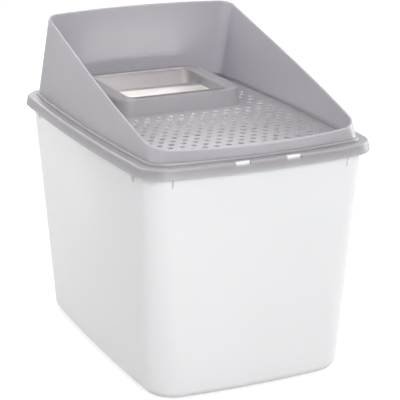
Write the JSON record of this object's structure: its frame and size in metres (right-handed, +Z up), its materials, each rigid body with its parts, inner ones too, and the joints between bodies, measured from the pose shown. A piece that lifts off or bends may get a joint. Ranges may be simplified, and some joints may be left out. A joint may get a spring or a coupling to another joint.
{
  "type": "top entry litter box",
  "caption": "Deep tapered tub with a lift-off perforated step lid, a raised entry hatch at the back and a slanted open guard hood.",
  "frame": {"origin": "centre of the bounding box's bottom face, where the tub stands", "axes": "+X across the width, -Y towards the low front lip, +Z up"},
  "size_m": [0.4, 0.572, 0.5181],
  "materials": {
    "tub_white": "satin moulded polypropylene, white",
    "lid_grey": "glossy moulded polypropylene, light grey"
  },
  "bodies": {
    "tub": {"tub": "tub_white"},
    "lid": {"step_lid": "lid_grey"},
    "hood": {"guard_hood": "lid_grey"}
  },
  "joints": [
    {"name": "lid_lift", "type": "slide", "parent": "tub", "child": "lid", "axis": [0, 0, 1], "range_m": [0, 0.25]},
    {"name": "hood_lift", "type": "slide", "parent": "lid", "child": "hood", "axis": [0, 0, 1], "range_m": [0, 0.2]}
  ]
}
